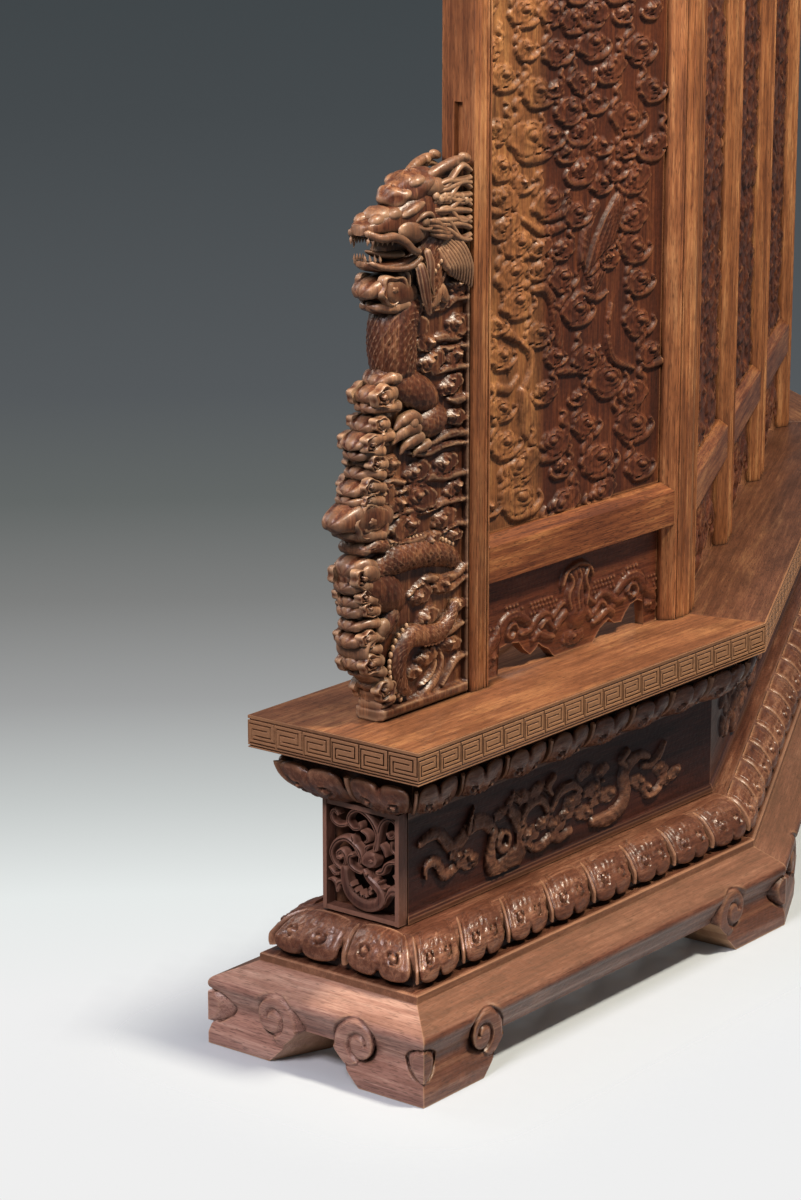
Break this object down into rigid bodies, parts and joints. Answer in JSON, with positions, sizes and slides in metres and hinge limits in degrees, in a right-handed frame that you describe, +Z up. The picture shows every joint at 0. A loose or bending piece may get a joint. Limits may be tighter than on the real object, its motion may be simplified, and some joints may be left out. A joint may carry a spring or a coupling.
{
  "type": "standing screen",
  "caption": "Carved hardwood standing screen: leaves with relief panels on a mitred moulded base, the wings turned back, with dragon spandrels at the ends.",
  "frame": {"origin": "on the floor, under the middle of the whole screen's plan box; the centre leaf's middle plane is at x = 0 and the middle leaves stand 194 mm in front of the origin", "axes": "+X along the three middle leaves to the viewer's right, -Y towards the viewer of the carved outer side, +Z up"},
  "size_m": [3.4796, 0.8006, 2.44],
  "materials": {
    "plinth_wood": "waxed, worn pinkish brown",
    "frame_wood": "waxed golden brown, satin",
    "panel_wood": "waxed red-brown relief on a darker ground",
    "carved_wood": "waxed, polished on the high points",
    "inner_wood": "unpolished"
  },
  "bodies": {
    "base": {"plinth_front_left": "plinth_wood", "plinth_end_left": "plinth_wood", "plinth_back_left": "plinth_wood", "plinth_front_right": "plinth_wood", "plinth_end_right": "plinth_wood", "plinth_back_right": "plinth_wood", "plinth_front_middle": "plinth_wood", "plinth_back_middle": "plinth_wood", "lotus_lower_left": "carved_wood", "waist_boards_left": "panel_wood", "lotus_upper_left": "carved_wood", "ledge_left": "frame_wood", "lotus_lower_middle": "carved_wood", "waist_boards_middle": "panel_wood", "lotus_upper_middle": "carved_wood", "ledge_middle": "frame_wood", "lotus_lower_right": "carved_wood", "waist_boards_right": "panel_wood", "lotus_upper_right": "carved_wood", "ledge_right": "frame_wood", "waist_end_left": "carved_wood", "waist_end_right": "carved_wood", "waist_posts": "inner_wood", "mitre_keys": "inner_wood"},
    "leaf_left_wing": {"stiles_left_wing": "frame_wood", "rails_left_wing": "frame_wood", "panel_left_wing": "panel_wood", "apron_left_wing": "panel_wood", "brow_left_wing": "panel_wood"},
    "crest_left_wing": {"crest_left_wing": "carved_wood"},
    "leaf_inner_left": {"stiles_inner_left": "frame_wood", "rails_inner_left": "frame_wood", "panel_inner_left": "panel_wood", "apron_inner_left": "panel_wood", "brow_inner_left": "panel_wood"},
    "crest_inner_left": {"crest_inner_left": "carved_wood"},
    "leaf_centre": {"stiles_centre": "frame_wood", "rails_centre": "frame_wood", "panel_centre": "panel_wood", "apron_centre": "panel_wood", "brow_centre": "panel_wood"},
    "crest_centre": {"crest_centre": "carved_wood"},
    "leaf_inner_right": {"stiles_inner_right": "frame_wood", "rails_inner_right": "frame_wood", "panel_inner_right": "panel_wood", "apron_inner_right": "panel_wood", "brow_inner_right": "panel_wood"},
    "crest_inner_right": {"crest_inner_right": "carved_wood"},
    "leaf_right_wing": {"stiles_right_wing": "frame_wood", "rails_right_wing": "frame_wood", "panel_right_wing": "panel_wood", "apron_right_wing": "panel_wood", "brow_right_wing": "panel_wood"},
    "crest_right_wing": {"crest_right_wing": "carved_wood"},
    "spandrel_left": {"spandrel_left": "carved_wood"},
    "spandrel_right": {"spandrel_right": "carved_wood"}
  },
  "joints": [
    {"name": "lift_leaf_left_wing", "type": "slide", "parent": "base", "child": "leaf_left_wing", "axis": [0, 0, 1], "range_m": [0, 0.06]},
    {"name": "lift_crest_left_wing", "type": "slide", "parent": "leaf_left_wing", "child": "crest_left_wing", "axis": [0, 0, 1], "range_m": [0, 0.045]},
    {"name": "lift_leaf_inner_left", "type": "slide", "parent": "base", "child": "leaf_inner_left", "axis": [0, 0, 1], "range_m": [0, 0.06]},
    {"name": "lift_crest_inner_left", "type": "slide", "parent": "leaf_inner_left", "child": "crest_inner_left", "axis": [0, 0, 1], "range_m": [0, 0.045]},
    {"name": "lift_leaf_centre", "type": "slide", "parent": "base", "child": "leaf_centre", "axis": [0, 0, 1], "range_m": [0, 0.06]},
    {"name": "lift_crest_centre", "type": "slide", "parent": "leaf_centre", "child": "crest_centre", "axis": [0, 0, 1], "range_m": [0, 0.045]},
    {"name": "lift_leaf_inner_right", "type": "slide", "parent": "base", "child": "leaf_inner_right", "axis": [0, 0, 1], "range_m": [0, 0.06]},
    {"name": "lift_crest_inner_right", "type": "slide", "parent": "leaf_inner_right", "child": "crest_inner_right", "axis": [0, 0, 1], "range_m": [0, 0.045]},
    {"name": "lift_leaf_right_wing", "type": "slide", "parent": "base", "child": "leaf_right_wing", "axis": [0, 0, 1], "range_m": [0, 0.06]},
    {"name": "lift_crest_right_wing", "type": "slide", "parent": "leaf_right_wing", "child": "crest_right_wing", "axis": [0, 0, 1], "range_m": [0, 0.045]},
    {"name": "lift_spandrel_left", "type": "slide", "parent": "leaf_left_wing", "child": "spandrel_left", "axis": [0, 0, 1], "range_m": [0, 0.06]},
    {"name": "lift_spandrel_right", "type": "slide", "parent": "leaf_right_wing", "child": "spandrel_right", "axis": [0, 0, 1], "range_m": [0, 0.06]}
  ]
}
